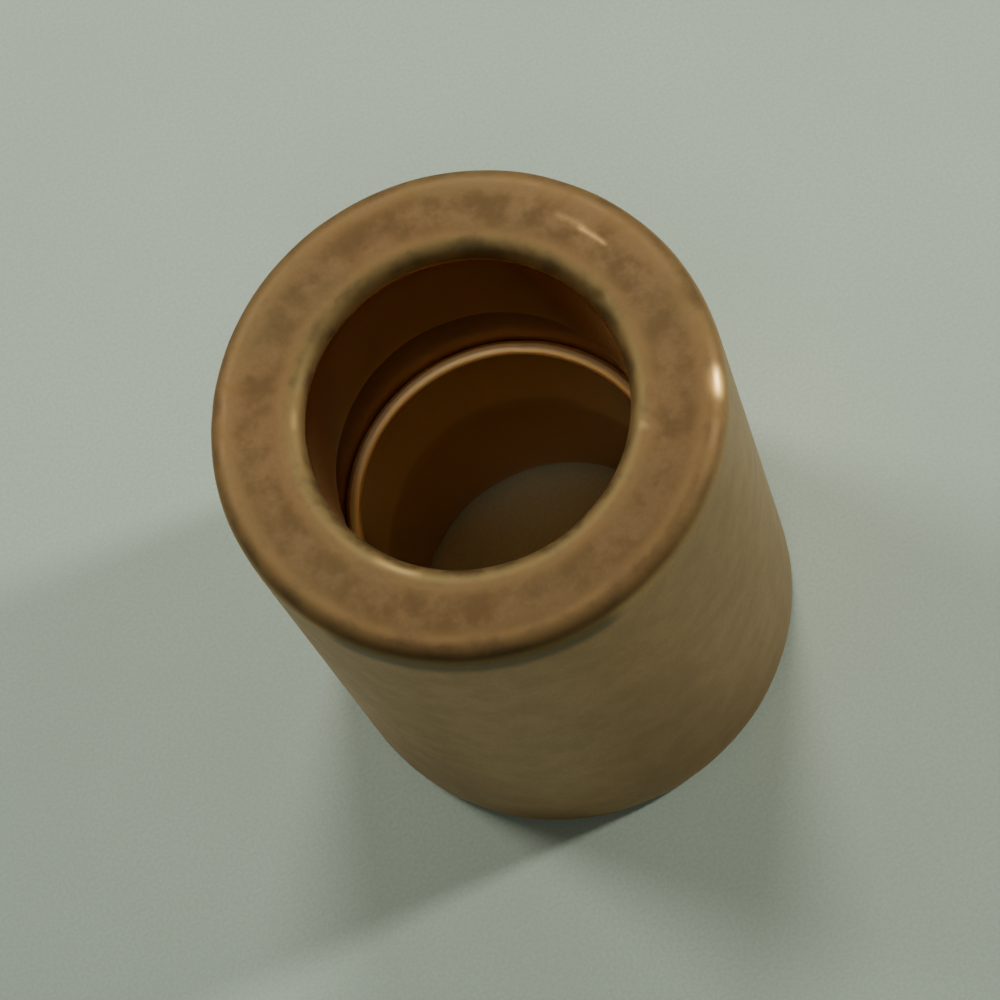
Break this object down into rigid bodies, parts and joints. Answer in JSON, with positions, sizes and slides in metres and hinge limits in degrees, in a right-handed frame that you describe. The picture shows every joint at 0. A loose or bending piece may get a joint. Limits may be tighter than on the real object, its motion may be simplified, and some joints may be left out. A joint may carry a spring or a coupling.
{
  "type": "bronze sleeve bushing",
  "caption": "Plain thick-walled bronze sleeve bushing with a pressed-in bore liner, an internal grease pocket and rounded edges.",
  "frame": {"origin": "centre of the lower end face, on the bore axis", "axes": "+Z along the bore, from the liner end up to the land end; X and Y are equal, as the part is round"},
  "size_m": [0.0254, 0.0254, 0.0318],
  "materials": {
    "sleeve_bronze": "fine turned bronze with a thin oily tarnish, satin",
    "liner_bronze": "smooth bored bronze, slightly brighter at the cut edges"
  },
  "bodies": {
    "root": {"sleeve": "sleeve_bronze", "liner": "liner_bronze"}
  },
  "joints": []
}
